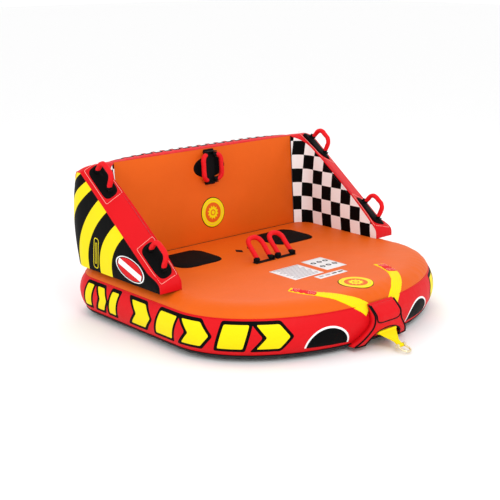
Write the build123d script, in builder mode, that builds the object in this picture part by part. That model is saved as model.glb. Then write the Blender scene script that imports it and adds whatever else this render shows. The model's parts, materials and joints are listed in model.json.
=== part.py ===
from build123d import *
from math import cos, radians, sin, sqrt
import os

# A towable inflatable tube with a sofa backrest and two side wings.
# Frame: +Z up, the tow end points to -Y, the origin is the centre of the footprint on the ground.
# Covers are sewn nylon skins around welded bladders, all in millimetres.

os.makedirs("parts", exist_ok=True)

# ---- skins
cover = 1.6                   # nylon cover thickness
bladder_gap = 0.8             # from a cover to the bladder inside it
bladder_wall = 1.0
webbing = 2.0                 # straps, patches and labels that lie on a cover

# ---- deck
deck_half_width = 770.0
deck_top = 254.0              # thickness of the inflated deck
deck_edge = 118.0             # radius of its rounded rim
deck_rear = 768.0
deck_corner = 216.0           # rear corners in plan
nose_start = -90.0            # where the straight sides end and the nose begins
nose_length = 527.0
upper_seam = 199.0            # between the top panel and the sidewall
lower_seam = 36.0

# ---- bolster: backrest and wings
back_foot = 540.0             # inner face of the backrest at the deck
back_lean = 41.0              # how far that face leans back over the height of the walls
wing_front = -6.0
wing_inner = 648.0
wing_outer = 764.0
inner_corner = 97.0           # inner vertical corners in plan
corner_seam = 583.0           # where the backrest panel meets the wing panels
wing_nose_top = 296.0         # top of the wing's front end
slope_middle = (252.0, 518.0)
crest_front = (580.0, 738.0)
crest_middle = (629.0, 750.0)
crest_rear = (678.0, 716.0)
rear_radius = 290.0           # of the arc from the backrest's widest line to its foot
rear_bulge_height = 490.0
wall_limit = 790.0            # above everything
rear_panel_top = 690.0
band_drop = 0.5               # the wing band falls outwards by this slope
band_middle = 61.0            # from a wing's inner edge to the middle of its band, along the band
wall_reach = 90.0             # how far behind the backrest's foot its front and inner panels end
band_reach = 85.0             # and where the bands end and the rear panel begins
outer_start = 30.0            # the outer panels' regions begin this far outside the inner faces

# ---- handles
grip_radius = 12.0
axis_height = 14.5            # hinge line above the surface that a handle is sewn to
lug_gap = 0.6
lug_thickness = 5.0
lug_height = 22.0
strap_width = 34.0

# ---- tow link
tow_axis = (-640.0, 76.0)     # Y and Z of the line on which the webbing leaves the nose cover
tow_root = 60.0               # half-width of the webbing there
tow_neck = 14.4               # half-width at the shackle
tow_droop = 31.0              # degrees below level at rest
tow_reach = 94.0              # hinge line to shackle pin
shackle_droop = 15.0
shackle_leg = 21.0            # half the distance between the shackle's legs
shackle_straight = 32.0
rod_radius = 5.0
tow_half_thickness = 4.5
tow_roll = 8.0                # radius of the rolled edge at the root
eye_radius = 9.5              # of the webbing's loop and the shackle's ears round the pin
eye_clearance = 0.06
pin_head = (7.0, 2.5)         # radius and half-length
ear_half = 5.8                # half-thickness of the ears that hold the pin
pin_radius = 4.0


def deck_form(inset):
    """The inflated deck as one solid, with every face moved inwards by inset."""
    half = deck_half_width - inset
    rear = deck_rear - inset
    corner = deck_corner - inset
    with BuildPart() as form:
        with BuildSketch(Plane.XY.offset(inset)):
            with BuildLine():
                EllipticalCenterArc((0, nose_start), half, nose_length - inset, 180, arc_size=180)
                Line((half, nose_start), (half, rear - corner))
                CenterArc((half - corner, rear - corner), corner, 0, 90)
                Line((half - corner, rear), (corner - half, rear))
                CenterArc((corner - half, rear - corner), corner, 90, 90)
                Line((-half, rear - corner), (-half, nose_start))
            make_face()
        extrude(amount=deck_top - 2 * inset)
        fillet(form.faces().filter_by(Axis.Z).edges(), deck_edge - inset)
    return form.part


def band_plane(side, inset):
    """The plane of a wing's sloping red band; its z axis points out of the wing."""
    along = Vector(0, crest_front[0] - wing_front, crest_front[1] - wing_nose_top).normalized()
    across = Vector(side, 0, -band_drop).normalized()
    normal = (across.cross(along) * side).normalized()
    point = Vector(side * wing_inner, slope_middle[0], slope_middle[1]) - normal * inset
    return Plane(origin=point, x_dir=along, z_dir=normal)


def profile_prism(inset):
    """Side profile of wings and backrest, drawn across the whole width."""
    rear_centre = deck_rear - rear_radius
    foot_drop = rear_bulge_height - deck_top
    rear_foot = rear_centre + sqrt(rear_radius**2 - foot_drop**2)
    with BuildPart() as form:
        with BuildSketch(Plane.YZ) as side:
            with BuildLine():
                Line((rear_foot, deck_top), (wing_front, deck_top))
                Line((wing_front, deck_top), (wing_front, wing_nose_top))
                ThreePointArc((wing_front, wing_nose_top), slope_middle, crest_front)
                ThreePointArc(crest_front, crest_middle, crest_rear)
                ThreePointArc(crest_rear, (deck_rear, rear_bulge_height), (rear_foot, deck_top))
            make_face()
            if inset > 0:
                offset(amount=-inset, kind=Kind.INTERSECTION)
        extrude(amount=wing_outer + 40, both=True)
        for side_sign in (-1, 1):
            split(bisect_by=band_plane(side_sign, inset), keep=Keep.BOTTOM)
    return form.part


def plan_prism(inset):
    """The U shape of wings and backrest seen from above, with its leaning inner faces."""
    half = wing_outer - inset
    corner = deck_corner - inset
    inner = wing_inner + inset
    with BuildPart() as form:
        with BuildSketch(Plane.XY.offset(deck_top + inset)):
            with BuildLine():
                Polyline(
                    (half, deck_rear + 20 - corner),
                    (half, wing_front - 20),
                    (-half, wing_front - 20),
                    (-half, deck_rear + 20 - corner),
                )
                CenterArc((half - corner, deck_rear + 20 - corner), corner, 0, 90)
                CenterArc((corner - half, deck_rear + 20 - corner), corner, 90, 90)
                Line((half - corner, deck_rear + 20), (corner - half, deck_rear + 20))
            make_face()
        extrude(amount=wall_limit - deck_top)
        for height, lean in ((deck_top - 10, 0), (wall_limit + 10, back_lean)):
            back = back_foot + lean + inset
            with BuildSketch(Plane.XY.offset(height)) as opening:
                with Locations((0, (back + wing_front - 60) / 2)):
                    Rectangle(2 * inner, back - wing_front + 60)
                fillet(opening.vertices().group_by(Axis.Y)[-1], inner_corner + inset)
        loft(ruled=True, mode=Mode.SUBTRACT)
    return form.part


def bolster_form(inset):
    """The inflated backrest and wings as one solid."""
    with BuildPart() as form:
        add(profile_prism(inset))
        add(plan_prism(inset), mode=Mode.INTERSECT)
    return form.part


def block(low, high):
    """A box between two corners, used as a cutter."""
    with BuildPart() as cutter:
        with Locations(((low[0] + high[0]) / 2, (low[1] + high[1]) / 2, (low[2] + high[2]) / 2)):
            Box(high[0] - low[0], high[1] - low[1], high[2] - low[2])
    return cutter.part


def save(piece, name):
    """Labels a finished piece and writes it."""
    piece.label = name
    export_step(piece, f"parts/{name}.step")


far = 2000.0
both_sides = (("left", -1), ("right", 1))
deck = deck_form(0)

# ---- inflation valves: one through the deck's rear wall, one through the backrest's rear panel
valve_bore = 11.0
valve_neck = 17.0
valve_flange = 27.0
valve_depth = 14.0
valve_wall = 2.0              # below the flange
flange_thickness = 4.0
cap_radius = 21.0
cap_thickness = 5.0
cap_tab = (12.0, 10.0)        # hinge tab at the top of the cap
cap_gap = 0.4                 # between the valve's mouth and the cap
plug_reach = 6.0
valve_sites = (
    ("deck", -330.0, deck_top / 2),
    ("backrest", 300.0, rear_bulge_height),
)


def valve_hole(x, height, radius):
    """A cylinder along Y through the rear walls."""
    with BuildPart() as hole:
        with BuildSketch(Plane((x, deck_rear - 40, height), x_dir=(1, 0, 0), z_dir=(0, 1, 0))):
            Circle(radius)
        extrude(amount=80)
    return hole.part


# ---- deck covers and bladder
with BuildPart() as deck_skin:
    add(deck)
    add(deck_form(cover), mode=Mode.SUBTRACT)
    add(valve_hole(valve_sites[0][1], valve_sites[0][2], valve_neck), mode=Mode.SUBTRACT)

for name, low, high in (
    ("deck_top_panel", upper_seam, far),
    ("deck_sidewall", lower_seam, upper_seam),
    ("deck_bottom_panel", -far, lower_seam),
):
    with BuildPart() as panel:
        add(deck_skin.part)
        add(block((-far, -far, low), (far, far, high)), mode=Mode.INTERSECT)
    save(panel.part, name)

with BuildPart() as deck_bladder:
    add(deck_form(cover + bladder_gap))
    add(deck_form(cover + bladder_gap + bladder_wall), mode=Mode.SUBTRACT)
    add(valve_hole(valve_sites[0][1], valve_sites[0][2], valve_neck), mode=Mode.SUBTRACT)
save(deck_bladder.part, "deck_bladder")

# ---- bolster covers and bladder
bolster = bolster_form(0)
with BuildPart() as band_skin:
    add(bolster)
    add(profile_prism(cover), mode=Mode.SUBTRACT)
    add(valve_hole(valve_sites[1][1], valve_sites[1][2], valve_neck), mode=Mode.SUBTRACT)
with BuildPart() as wall_skin:
    add(bolster)
    add(profile_prism(cover), mode=Mode.INTERSECT)
    add(plan_prism(cover), mode=Mode.SUBTRACT)

skin_foot = deck_top + cover


def cut_panel(skin, name, *regions):
    """Saves the part of a skin that lies in any of the regions."""
    with BuildPart() as keep:
        for low, high in regions:
            add(block(low, high))
    with BuildPart() as panel:
        add(skin)
        add(keep.part, mode=Mode.INTERSECT)
    save(panel.part, name)


cut_panel(
    wall_skin.part,
    "backrest_front_panel",
    ((-corner_seam, back_foot - 60, deck_top), (corner_seam, back_foot + wall_reach, far)),
)
cut_panel(
    band_skin.part,
    "backrest_rear_panel",
    ((-far, back_foot + band_reach, skin_foot), (far, far, rear_panel_top)),
)
cut_panel(
    band_skin.part,
    "backrest_crest_band",
    ((-corner_seam, back_foot, rear_panel_top), (corner_seam, far, far)),
)
cut_panel(band_skin.part, "bolster_base_panel", ((-far, -far, 0), (far, far, skin_foot)))
for side_name, side in both_sides:
    edges = sorted((side * corner_seam, side * (wing_inner + outer_start)))
    cut_panel(
        wall_skin.part,
        f"{side_name}_wing_inner_panel",
        ((edges[0], -far, deck_top), (edges[1], back_foot + wall_reach, far)),
    )
    outside = sorted((side * (wing_inner + outer_start), side * far))
    behind = sorted((side * (corner_seam - 60), side * far))
    cut_panel(
        wall_skin.part,
        f"{side_name}_wing_outer_panel",
        ((outside[0], -far, deck_top), (outside[1], far, far)),
        ((behind[0], back_foot + wall_reach, deck_top), (behind[1], far, far)),
    )
    band_x = sorted((side * corner_seam, side * far))
    cut_panel(
        band_skin.part,
        f"{side_name}_wing_band",
        ((band_x[0], -far, skin_foot), (band_x[1], back_foot + band_reach, far)),
        ((band_x[0], back_foot, rear_panel_top), (band_x[1], far, far)),
    )

with BuildPart() as backrest_bladder:
    add(bolster_form(cover + bladder_gap))
    add(bolster_form(cover + bladder_gap + bladder_wall), mode=Mode.SUBTRACT)
    add(valve_hole(valve_sites[1][1], valve_sites[1][2], valve_neck), mode=Mode.SUBTRACT)
save(backrest_bladder.part, "backrest_bladder")

# ---- valves
for valve_name, x, height in valve_sites:
    mouth = Plane((x, deck_rear, height), x_dir=(1, 0, 0), z_dir=(0, 1, 0))
    with BuildPart() as valve_body:
        with BuildSketch(mouth.offset(-valve_depth)):
            Circle(valve_neck)
        extrude(amount=valve_depth + webbing)
        with BuildSketch(mouth.offset(-valve_depth + valve_wall)):
            Circle(valve_flange)
        extrude(amount=flange_thickness)
        with BuildSketch(mouth.offset(-valve_depth)):
            Circle(valve_bore)
        extrude(amount=valve_depth + webbing, mode=Mode.SUBTRACT)
    save(valve_body.part, f"{valve_name}_valve_body")
    with BuildPart() as valve_cap:
        with BuildSketch(mouth.offset(webbing + cap_gap)):
            Circle(cap_radius)
            with Locations((0, -cap_radius)):
                Rectangle(*cap_tab)
        extrude(amount=cap_thickness)
        with BuildSketch(mouth.offset(webbing - plug_reach)):
            Circle(valve_bore - 0.9)
        extrude(amount=plug_reach + cap_gap)
        chamfer(valve_cap.faces().sort_by(Axis.Y)[-1].edges().filter_by(GeomType.CIRCLE), 1)
    save(valve_cap.part, f"{valve_name}_valve_cap")

# ---- soft loop handles
back_slope = back_lean / (wall_limit + 10 - (deck_top - 10))
back_normal = Vector(0, -1, back_slope).normalized()
guard_thickness = 4.0


def back_face(x, height):
    """Frame on the leaning front face of the backrest: x axis up the face, z axis towards the rider."""
    y = back_foot + back_slope * (height - deck_top + 10)
    return Plane(origin=(x, y, height), x_dir=(0, back_slope, 1), z_dir=back_normal)


def wing_face(side, along, lift):
    """Frame on the middle of a wing's band, that far up the slope from its middle."""
    slope = band_plane(side, 0)
    across = Vector(side, 0, -band_drop).normalized() * band_middle
    origin = slope.origin + across + slope.x_dir * along + slope.z_dir * lift
    return Plane(origin=origin, x_dir=slope.x_dir, z_dir=slope.z_dir)


def hinge_point(face):
    """Middle of a handle's hinge line."""
    return face.origin + face.z_dir * axis_height


def grip(face, spacing, height, lean, shift, bend):
    """A padded loop with bends of that radius, whose feet sit on the hinge line, leaning by some degrees at rest."""
    up = face.z_dir * cos(radians(lean)) + face.y_dir * sin(radians(lean))
    arch = Plane(origin=hinge_point(face), x_dir=face.x_dir, z_dir=face.x_dir.cross(up))
    half = spacing / 2
    with BuildPart() as loop:
        with BuildLine(arch) as route:
            FilletPolyline(
                (-half, 0),
                (-half + shift, height),
                (half - abs(shift) / 2, height),
                (half, 0),
                radius=bend,
            )
        with BuildSketch(Plane(origin=route.line @ 0, z_dir=route.line % 0)):
            Circle(grip_radius)
        sweep(path=route.line)
        with Locations(route.line @ 0, route.line @ 1):
            Sphere(grip_radius)
    return loop.part


def handle_strap(face, spacing, tail):
    """The webbing under a loop, with an upright lug beyond each foot."""
    lug_place = spacing / 2 + grip_radius + lug_gap + lug_thickness / 2
    with BuildPart() as strap:
        with BuildSketch(face):
            RectangleRounded(2 * (lug_place + tail), strap_width, 5)
        extrude(amount=webbing)
        with BuildSketch(face):
            with Locations((lug_place, 0), (-lug_place, 0)):
                Rectangle(lug_thickness, strap_width - 8)
        extrude(amount=lug_height)
    return strap.part


guard_size = (192.0, 82.0)
guard_corner = 38.0
wing_spacing = 112.0
wing_loop = 70.0
wing_lean = 20.0
wing_shift = 14.0
wing_bend = 34.0
wing_tail = 12.0
for side_name, side in both_sides:
    for place, along in (("lower", -196.0), ("upper", 296.0)):
        surface = wing_face(side, along, 0)
        with BuildPart() as guard:
            with BuildSketch(surface):
                RectangleRounded(*guard_size, guard_corner)
            extrude(amount=guard_thickness)
        save(guard.part, f"{side_name}_{place}_knuckle_guard")
        face = wing_face(side, along, guard_thickness)
        loop = grip(face, wing_spacing, wing_loop, side * wing_lean, wing_shift, wing_bend)
        save(loop, f"{side_name}_{place}_wing_grip")
        save(handle_strap(face, wing_spacing, wing_tail), f"{side_name}_{place}_grip_strap")

seat_spacing = 84.0
seat_loop = 122.0
seat_bend = 38.0
seat_lean = 45.0
seat_tail = 8.0
seat_handle_x = 70.0
seat_handle_y = 79.0
for side_name, side in both_sides:
    face = Plane(origin=(side * seat_handle_x, seat_handle_y, deck_top))
    save(grip(face, seat_spacing, seat_loop, seat_lean, 0, seat_bend), f"{side_name}_seat_grip")
    save(handle_strap(face, seat_spacing, seat_tail), f"{side_name}_seat_grip_strap")

back_spacing = 126.0
back_loop = 34.0
back_bend = 30.0
back_splay = 70.0             # the back loops lie out to the sides
back_handle_z = 637.0
back_strap_thickness = 5.0
back_pair = 26.0              # the two hinge lines stand this far either side of the middle
back_guard_size = (54.0, 102.0)
back_guard_thickness = 3.0
back_strap_tail = 13.0
back_strap_edge = 7.0
with BuildPart() as back_guard:
    with BuildSketch(back_face(0, back_handle_z)):
        Ellipse(*back_guard_size)
    extrude(amount=back_guard_thickness)
save(back_guard.part, "back_knuckle_guard")
back_lug = back_spacing / 2 + grip_radius + lug_gap + lug_thickness / 2
with BuildPart() as back_strap:
    with BuildSketch(back_face(0, back_handle_z)):
        RectangleRounded(2 * (back_lug + back_strap_tail), 2 * (back_pair + back_strap_edge), 5)
    extrude(amount=back_strap_thickness)
    with BuildSketch(back_face(0, back_handle_z)):
        with Locations((back_lug, 0), (-back_lug, 0)):
            Rectangle(lug_thickness, 2 * back_pair + 2 * grip_radius)
    extrude(amount=back_strap_thickness + lug_height)
    add(back_guard.part, mode=Mode.SUBTRACT)
save(back_strap.part, "back_grip_strap")
for side_name, side in both_sides:
    site = back_face(side * back_pair, back_handle_z)
    face = site.offset(back_strap_thickness)
    save(grip(face, back_spacing, back_loop, -side * back_splay, 0, back_bend), f"{side_name}_back_grip")

# ---- seat pads, tabs, badges and labels
pad_centre = (313.0, 347.0)
pad_size = (270.0, 243.0)
pad_corner = 62.0
pad_thickness = 4.0
tab_place = (39.0, 295.0)
tab_half = (20.0, 30.0)
badge_y = -450.0
badge_radius = 82.0
back_badge_z = 402.0
back_badge_radius = 78.0
label_thickness = 1.0
label_places = (((-86.0, -157.0), (186.0, 176.0)), ((112.0, -142.0), (134.0, 176.0)), ((10.0, -287.0), (182.0, 44.0)))
for side_name, side in both_sides:
    with BuildPart() as pad:
        with BuildSketch(Plane.XY.offset(deck_top)):
            with Locations((side * pad_centre[0], pad_centre[1])):
                RectangleRounded(*pad_size, pad_corner)
        extrude(amount=pad_thickness)
    save(pad.part, f"{side_name}_seat_pad")

with BuildPart() as seat_tabs:
    with BuildSketch(Plane.XY.offset(deck_top)):
        with Locations(tab_place, (-tab_place[0], tab_place[1])):
            Polygon((-tab_half[0], 0), (0, -tab_half[1]), (tab_half[0], 0), (0, tab_half[1]))
    extrude(amount=webbing)
save(seat_tabs.part, "seat_tie_tabs")


def deck_layer(low, high, region):
    """The part of a layer on the deck's surface that a region from above covers."""
    with BuildPart() as layer:
        add(region)
        add(deck_form(-high), mode=Mode.INTERSECT)
        add(deck_form(-low), mode=Mode.SUBTRACT)
    return layer.part


with BuildPart() as badge_region:
    with BuildSketch(Plane.XY.offset(deck_top / 2)):
        with Locations((0, badge_y)):
            Circle(badge_radius)
    extrude(amount=deck_top)
save(deck_layer(0, webbing, badge_region.part), "deck_badge")

with BuildPart() as back_badge:
    with BuildSketch(back_face(0, back_badge_z)):
        Circle(back_badge_radius)
    extrude(amount=webbing)
save(back_badge.part, "backrest_badge")

with BuildPart() as labels:
    with BuildSketch(Plane.XY.offset(deck_top)):
        for place, size in label_places:
            with Locations(place):
                Rectangle(*size)
    extrude(amount=label_thickness)
save(labels.part, "care_labels")

# ---- tow harness
strap_tip = (297.0, -325.0)
strap_bend = (222.0, -482.0)
strap_end = (60.0, -592.0)
strap_width_deck = 64.0
patch_start = (284.0, -340.0)
patch_end = (205.0, -498.0)
patch_width = 46.0
patch_thickness = 1.5
region_floor = deck_top / 2 + 10
nose_back = 450.0             # cutters for the nose run from here towards -Y
nose_reach = 300.0
cover_foot = (170.0, 24.0)    # X and Z of the nose cover's outline on one side
cover_waist = (86.0, 118.0)
cover_head = (82.0, 204.0)
waist_radius = 60.0
mouth_half = (110.0, 72.0)


def nose_outline(grow):
    """Front outline of the nose cover, pushed along Y through the deck's nose."""
    with BuildPart() as prism:
        with BuildSketch(Plane.XZ.offset(nose_back)):
            with BuildLine():
                right = (cover_foot, cover_waist, cover_head)
                Polyline(*right, *[(-x, z) for x, z in reversed(right)], close=True)
            make_face()
            fillet([v for v in vertices() if abs(v.Z - cover_waist[1]) < 1], waist_radius)
            if grow:
                offset(amount=grow, kind=Kind.INTERSECTION)
        extrude(amount=nose_reach)
    return prism.part


piping = 4.0
piping_stand = 1.0
piping_top = 200.0            # the cover's upper edge has none
cover_stand = 32.0
cover_wall = 2.4
cover_top = (-596.0, 205.0)   # Y and Z where the cover's sloping top leaves the deck
cover_lip = (-647.5, 158.0)   # and where it turns down into the front face


def cover_form(grow):
    """The space that the nose cover fills, with its outer faces pushed out."""
    slope = Vector(0, cover_lip[0] - cover_top[0], cover_lip[1] - cover_top[1]).normalized()
    normal = slope.cross(Vector(1, 0, 0))
    with BuildPart() as form:
        add(deck_form(-cover_stand - grow))
        split(bisect_by=Plane(origin=Vector(0, *cover_top) + normal * grow, z_dir=normal), keep=Keep.BOTTOM)
    return form.part


with BuildPart() as cover_core:
    add(nose_outline(-cover_wall))
    add(cover_form(-cover_wall), mode=Mode.INTERSECT)
with BuildPart() as mouth:
    with BuildSketch(Plane.XZ.offset(nose_back)):
        with Locations((0, cover_foot[1])):
            Ellipse(*mouth_half)
    extrude(amount=nose_reach)
with BuildPart() as nose_cover:
    add(nose_outline(0))
    add(cover_form(0), mode=Mode.INTERSECT)
    add(deck, mode=Mode.SUBTRACT)
    add(cover_core.part, mode=Mode.SUBTRACT)
    add(mouth.part, mode=Mode.SUBTRACT)
save(nose_cover.part, "nose_cover")

with BuildPart() as nose_piping:
    add(nose_outline(piping))
    add(nose_outline(0), mode=Mode.SUBTRACT)
    add(cover_form(piping_stand), mode=Mode.INTERSECT)
    add(block((-far, -far, 0), (far, far, piping_top)), mode=Mode.INTERSECT)
    add(deck, mode=Mode.SUBTRACT)
save(nose_piping.part, "nose_piping")

for side_name, side in both_sides:
    with BuildPart() as strap_region:
        with BuildSketch(Plane.XY.offset(region_floor)):
            with BuildLine() as run:
                ThreePointArc(
                    (side * strap_tip[0], strap_tip[1]),
                    (side * strap_bend[0], strap_bend[1]),
                    (side * strap_end[0], strap_end[1]),
                )
            trace(run.line, line_width=strap_width_deck)
        extrude(amount=deck_top)
        add(nose_outline(piping), mode=Mode.SUBTRACT)
    save(deck_layer(0, webbing, strap_region.part), f"{side_name}_tow_strap")

with BuildPart() as patch_region:
    for side_name, side in both_sides:
        with BuildSketch(Plane.XY.offset(region_floor)):
            with BuildLine() as run:
                Line((side * patch_start[0], patch_start[1]), (side * patch_end[0], patch_end[1]))
            trace(run.line, line_width=patch_width)
        extrude(amount=deck_top)
save(deck_layer(webbing, webbing + patch_thickness, patch_region.part), "tow_strap_patches")

flap_gap = 1.0
flap_top = 198.0
flap_low = 126.0
flap_width = 152.0
flap_corner = 26.0
with BuildPart() as flap_region:
    with BuildSketch(Plane.XZ.offset(nose_back)) as flap_outline:
        with Locations((0, (flap_top + flap_low) / 2)):
            Rectangle(flap_width, flap_top - flap_low)
        fillet(flap_outline.vertices().group_by(Axis.Z)[0], flap_corner)
    extrude(amount=nose_reach)
with BuildPart() as nose_flap:
    add(flap_region.part)
    add(cover_form(flap_gap + cover_wall), mode=Mode.INTERSECT)
    add(cover_form(flap_gap), mode=Mode.SUBTRACT)
save(nose_flap.part, "nose_flap")

# ---- tow webbing and shackle
tow_line = Vector(0, -cos(radians(tow_droop)), -sin(radians(tow_droop)))
tow_frame = Plane(
    origin=(0, tow_axis[0], tow_axis[1]), x_dir=(1, 0, 0), z_dir=Vector(1, 0, 0).cross(tow_line)
)
pin_point = tow_frame.origin + tow_line * tow_reach


def rod_along_x(centre, radius, half_length):
    """A cylinder whose axis runs across the object."""
    with BuildPart() as rod:
        with BuildSketch(Plane(origin=centre - Vector(half_length, 0, 0), z_dir=(1, 0, 0))):
            Circle(radius)
        extrude(amount=2 * half_length)
    return rod.part


with BuildPart() as tow_webbing:
    with BuildSketch(tow_frame):
        Polygon(
            (-tow_root, 0),
            (-tow_neck, 0.7 * tow_reach),
            (-tow_neck, tow_reach),
            (tow_neck, tow_reach),
            (tow_neck, 0.7 * tow_reach),
            (tow_root, 0),
            align=None,
        )
    extrude(amount=tow_half_thickness, both=True)
    add(rod_along_x(tow_frame.origin, tow_roll, tow_root))
    add(rod_along_x(pin_point, eye_radius, tow_neck))
    add(rod_along_x(pin_point, pin_radius + eye_clearance, tow_neck + 5), mode=Mode.SUBTRACT)
save(tow_webbing.part, "tow_webbing")

shackle_line = Vector(0, -cos(radians(shackle_droop)), -sin(radians(shackle_droop)))
shackle_frame = Plane(
    origin=pin_point, x_dir=(1, 0, 0), z_dir=Vector(1, 0, 0).cross(shackle_line)
)
with BuildPart() as shackle:
    with BuildLine(shackle_frame) as bow:
        Line((-shackle_leg, 0), (-shackle_leg, shackle_straight))
        ThreePointArc(
            (-shackle_leg, shackle_straight),
            (0, shackle_straight + shackle_leg),
            (shackle_leg, shackle_straight),
        )
        Line((shackle_leg, shackle_straight), (shackle_leg, 0))
    with BuildSketch(Plane(origin=bow.line @ 0, z_dir=bow.line % 0)):
        Circle(rod_radius)
    sweep(path=bow.line)
    for side in (-1, 1):
        add(rod_along_x(pin_point + Vector(side * shackle_leg, 0, 0), eye_radius, ear_half))
    add(rod_along_x(pin_point, pin_radius, shackle_leg + 20), mode=Mode.SUBTRACT)
save(shackle.part, "tow_shackle")

with BuildPart() as shackle_pin:
    add(rod_along_x(pin_point, pin_radius, shackle_leg + ear_half + 1))
    add(rod_along_x(pin_point + Vector(shackle_leg + ear_half + pin_head[1], 0, 0), *pin_head))
save(shackle_pin.part, "shackle_pin")

# ---- zipper in the rear wall of the deck
zip_low = -180.0
zip_high = 440.0
zip_height = deck_top / 2
tape_thickness = 1.5
tape_half = 15.0
coil_height = 1.2
coil_half = 2.5
slider_size = (9.0, 2.6, 8.0)  # half-length, thickness and half-height
slider_channel = 0.4          # room round the coil
post_place = 5.5
pull_size = (5.0, 0.7, 34.0)  # half-width, half-thickness and length
tooth_face = deck_rear + tape_thickness
with BuildPart() as zip_region:
    add(block((zip_low, deck_rear - 60, zip_height - tape_half), (zip_high, deck_rear + 20, zip_height + tape_half)))
with BuildPart() as zipper_tape:
    add(deck_layer(0, tape_thickness, zip_region.part))
    add(
        block(
            (zip_low, tooth_face - 0.5, zip_height - coil_half),
            (zip_high, tooth_face + coil_height, zip_height + coil_half),
        )
    )
save(zipper_tape.part, "zipper_tape")

slider_x = zip_low + 16
slider_back = tooth_face + 0.3
bar_y = slider_back + 4.8
bar_radius = 1.0
with BuildPart() as zipper_slider:
    add(
        block(
            (slider_x - slider_size[0], slider_back, zip_height - slider_size[2]),
            (slider_x + slider_size[0], slider_back + slider_size[1], zip_height + slider_size[2]),
        )
    )
    add(
        block(
            (slider_x - 12, slider_back - 1, zip_height - coil_half - slider_channel),
            (slider_x + 12, tooth_face + coil_height + 0.3, zip_height + coil_half + slider_channel),
        ),
        mode=Mode.SUBTRACT,
    )
    for side in (-1, 1):
        post = slider_x + side * post_place
        add(block((post - 1, slider_back + 2, zip_height - 1.4), (post + 1, bar_y + 1, zip_height + 1.4)))
    add(rod_along_x(Vector(slider_x, bar_y, zip_height), bar_radius, post_place))
save(zipper_slider.part, "zipper_slider")
with BuildPart() as zipper_pull:
    add(rod_along_x(Vector(slider_x, bar_y, zip_height), 1.9, 3.6))
    half, thin, length = pull_size
    add(block((slider_x - half, bar_y - thin, zip_height - length), (slider_x + half, bar_y + thin, zip_height - 3)))
    add(block((slider_x - 3.6, bar_y - thin, zip_height - 4), (slider_x + 3.6, bar_y + thin, zip_height)))
    add(rod_along_x(Vector(slider_x, bar_y, zip_height), bar_radius + 0.1, 8), mode=Mode.SUBTRACT)
save(zipper_pull.part, "zipper_pull")
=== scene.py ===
import json
import math

import bpy
import numpy as np
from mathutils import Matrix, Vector, noise
from mathutils.geometry import delaunay_2d_cdt


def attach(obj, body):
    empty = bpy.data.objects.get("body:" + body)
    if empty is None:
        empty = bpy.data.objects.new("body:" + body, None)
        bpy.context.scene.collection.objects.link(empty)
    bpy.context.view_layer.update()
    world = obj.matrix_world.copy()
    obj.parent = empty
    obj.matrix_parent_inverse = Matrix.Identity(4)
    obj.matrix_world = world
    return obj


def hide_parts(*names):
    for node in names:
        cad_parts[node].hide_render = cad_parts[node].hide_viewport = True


# A towable inflatable tube: puffed nylon covers over the CAD frame, in metres.

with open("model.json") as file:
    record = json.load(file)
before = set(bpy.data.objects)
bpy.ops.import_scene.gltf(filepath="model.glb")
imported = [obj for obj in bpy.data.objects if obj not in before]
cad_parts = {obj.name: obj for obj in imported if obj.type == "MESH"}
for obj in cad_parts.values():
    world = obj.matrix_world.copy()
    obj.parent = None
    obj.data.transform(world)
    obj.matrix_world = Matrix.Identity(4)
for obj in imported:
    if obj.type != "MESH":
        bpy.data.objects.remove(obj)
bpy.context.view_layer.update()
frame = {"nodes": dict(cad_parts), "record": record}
nodes = frame["nodes"]

# ---------------------------------------------------------------- materials


def shader(name, rough, metal=0.0, shine=0.5):
    """A new material, its node tree and its Principled shader."""
    material = bpy.data.materials.new(name)
    material.use_nodes = True
    tree = material.node_tree
    surface = tree.nodes["Principled BSDF"]
    surface.inputs["Roughness"].default_value = rough
    surface.inputs["Metallic"].default_value = metal
    surface.inputs["Specular IOR Level"].default_value = shine
    return material, tree, surface


MOTTLE_SCALE, CREASE_SCALE, WEAR_SCALE = 5.0, 13.0, 60.0
CREASE_DEPTH, GRAIN_DEPTH = 0.006, 0.0006
WEAR = 0.15


def cloth(name, colour, rough=0.5, crease=0.35, grain=0.12, weave=900.0, mottle=0.06, shine=0.12):
    """Coated cloth: soft creases, a fine woven grain and slightly uneven colour."""
    material, tree, surface = shader(name, rough, shine=shine)
    new, link = tree.nodes.new, tree.links.new
    where = new("ShaderNodeTexCoord").outputs["Object"]

    def field(scale, detail, stretch=0.0):
        node = new("ShaderNodeTexNoise")
        node.inputs["Scale"].default_value = scale
        node.inputs["Detail"].default_value = detail
        node.inputs["Distortion"].default_value = stretch
        link(where, node.inputs["Vector"])
        return node.outputs["Fac"]

    def bump(strength, depth, height):
        node = new("ShaderNodeBump")
        node.inputs["Strength"].default_value = strength
        node.inputs["Distance"].default_value = depth
        link(height, node.inputs["Height"])
        return node

    tint = new("ShaderNodeMix")
    tint.data_type = "RGBA"
    tint.inputs["A"].default_value = (*[c * (1 - mottle) for c in colour], 1)
    tint.inputs["B"].default_value = (*[min(1, c * (1 + mottle)) for c in colour], 1)
    link(field(MOTTLE_SCALE, 3.0), tint.inputs["Factor"])
    link(tint.outputs["Result"], surface.inputs["Base Color"])
    soft = bump(crease, CREASE_DEPTH, field(CREASE_SCALE, 4.0, 0.6))
    fine = bump(grain, GRAIN_DEPTH, field(weave, 1.0))
    link(soft.outputs["Normal"], fine.inputs["Normal"])
    link(fine.outputs["Normal"], surface.inputs["Normal"])
    return material


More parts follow.
